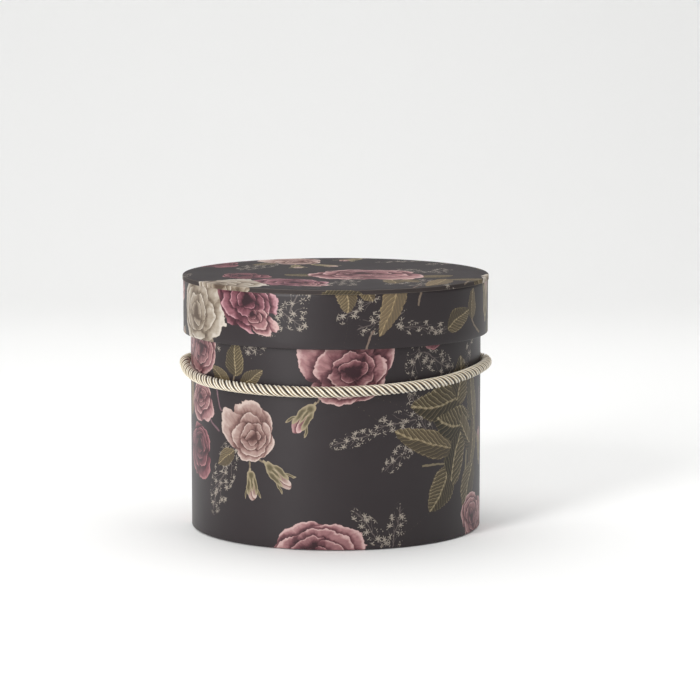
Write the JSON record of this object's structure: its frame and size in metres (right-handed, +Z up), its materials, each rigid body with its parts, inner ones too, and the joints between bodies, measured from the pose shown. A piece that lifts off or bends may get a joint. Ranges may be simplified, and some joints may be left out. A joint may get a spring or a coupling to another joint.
{
  "type": "hat box",
  "caption": "Round covered board hat box with a lift-off lid and a twisted cord handle hanging across its front.",
  "frame": {"origin": "middle of the underside, on the surface the box stands on", "axes": "+Z up along the axis of the round body, the cord handle hangs across the front at -Y, its two holes lie on the X axis"},
  "size_m": [0.2042, 0.2033, 0.166],
  "materials": {
    "printed_paper": "satin, printed with roses and leaves on charcoal",
    "lining_paper": "matte",
    "greyboard": "matte, raw edges",
    "satin_cord": "satin, three twisted strands"
  },
  "bodies": {
    "box": {"wall_board": "greyboard", "base_board": "greyboard", "wall_printed_paper": "printed_paper", "base_cover_paper": "lining_paper", "wall_lining": "lining_paper", "base_lining": "lining_paper"},
    "lid": {"lid_top_board": "greyboard", "lid_rim_board": "greyboard", "lid_rim_printed_paper": "printed_paper", "lid_top_printed_paper": "printed_paper", "lid_top_lining": "lining_paper", "lid_rim_lining": "lining_paper"},
    "handle": {"handle_cord": "satin_cord", "cord_knot_right": "satin_cord", "cord_tail_right": "satin_cord", "cord_knot_left": "satin_cord", "cord_tail_left": "satin_cord"}
  },
  "joints": [
    {"name": "lid_lift", "type": "slide", "parent": "box", "child": "lid", "axis": [0, 0, 1], "range_m": [0, 0.12]},
    {"name": "handle_swing", "type": "hinge", "parent": "box", "child": "handle", "pos_m": [0, 0, 0.1105], "axis": [-1, 0, 0], "range_deg": [0, 13]}
  ]
}
